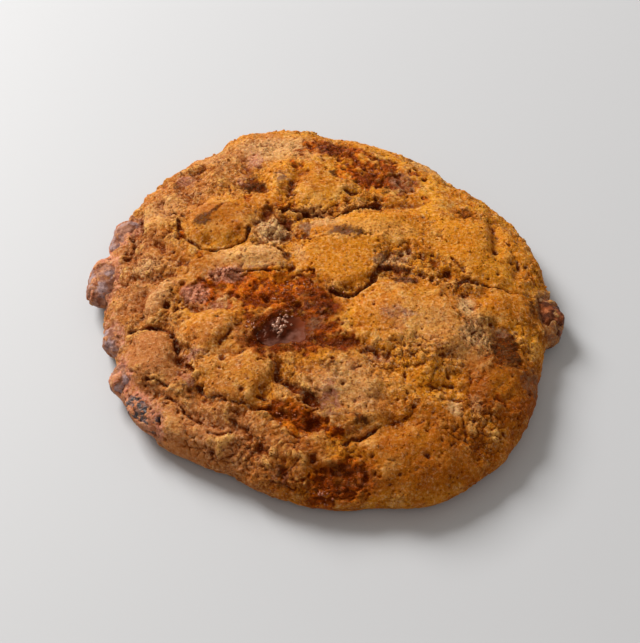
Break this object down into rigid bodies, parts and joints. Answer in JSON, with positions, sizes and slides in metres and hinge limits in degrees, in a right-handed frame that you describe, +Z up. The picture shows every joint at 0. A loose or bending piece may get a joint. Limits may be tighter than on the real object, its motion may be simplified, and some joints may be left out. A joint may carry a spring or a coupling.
{
  "type": "cookie",
  "caption": "Large flat round bakery cookie with a cracked golden crust, salted caramel melted into the top and chocolate chunks at its edge.",
  "frame": {"origin": "bottom centre of the whole cookie's bounding box, on the flat underside", "axes": "+Z up through the dome, +X to the side with the caramel lump, +Y to the back, away from the caramel pool"},
  "size_m": [0.1252, 0.127, 0.0203],
  "materials": {
    "crust": "matte, crumbly golden-brown baked crust",
    "caramel": "glossy red-brown caramel, sticky and bubbly",
    "chocolate": "satin brown chocolate with a pale bloom"
  },
  "bodies": {
    "root": {"cookie": "crust", "caramel_pool": "caramel", "caramel_lump": "caramel", "chocolate_chunk_1": "chocolate", "chocolate_chunk_2": "chocolate", "chocolate_chunk_3": "chocolate", "chocolate_chunk_4": "chocolate", "chocolate_chunk_5": "chocolate"}
  },
  "joints": []
}
